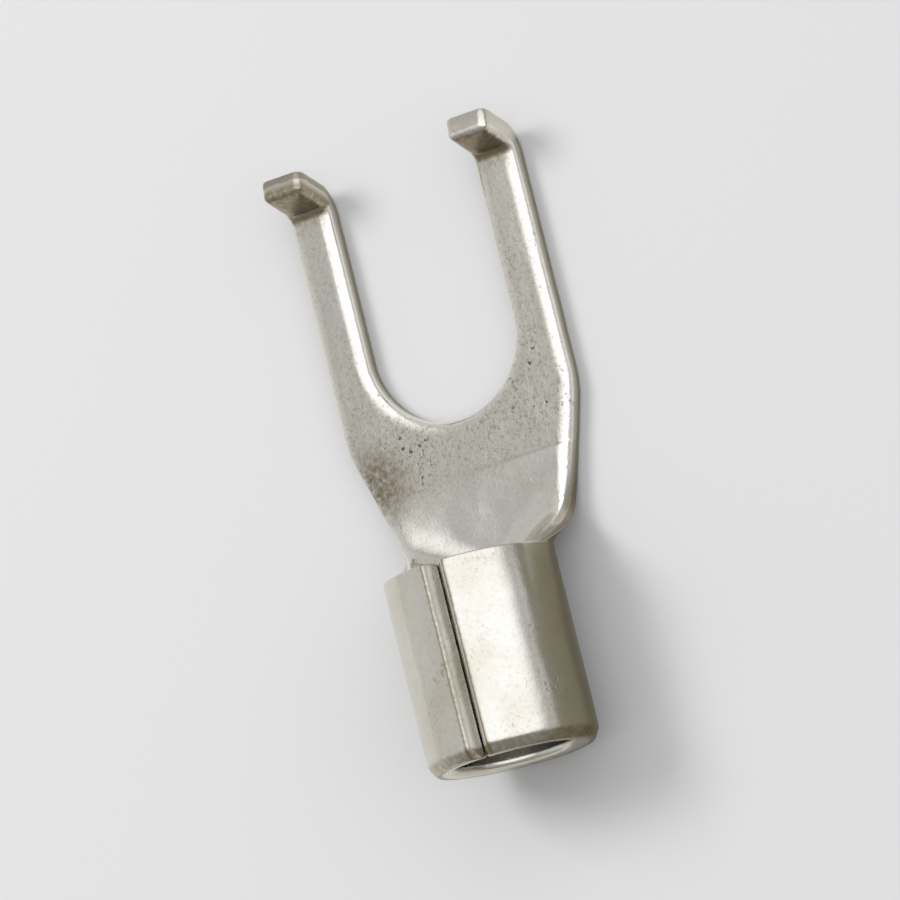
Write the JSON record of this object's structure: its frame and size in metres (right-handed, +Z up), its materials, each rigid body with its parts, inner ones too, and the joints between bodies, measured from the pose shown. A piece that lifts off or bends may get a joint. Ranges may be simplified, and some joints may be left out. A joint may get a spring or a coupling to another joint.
{
  "type": "fork terminal",
  "caption": "Un-insulated flanged fork terminal: rolled crimp barrel with a butted seam, round-to-flat neck, flat tongue with a stud slot, and tines whose tips are bent up into lips.",
  "frame": {"origin": "centre of the overall length and width, on the flat underside of the tongue", "axes": "+X along the barrel's axis from the wire's mouth to the fork, +Y across the fork, +Z up from the flat underside to the barrel's seam and the lips"},
  "size_m": [0.0204, 0.0082, 0.0056],
  "materials": {
    "tin_plate": "satin bright tin plate on copper sheet"
  },
  "bodies": {
    "root": {"fork_terminal": "tin_plate"}
  },
  "joints": []
}
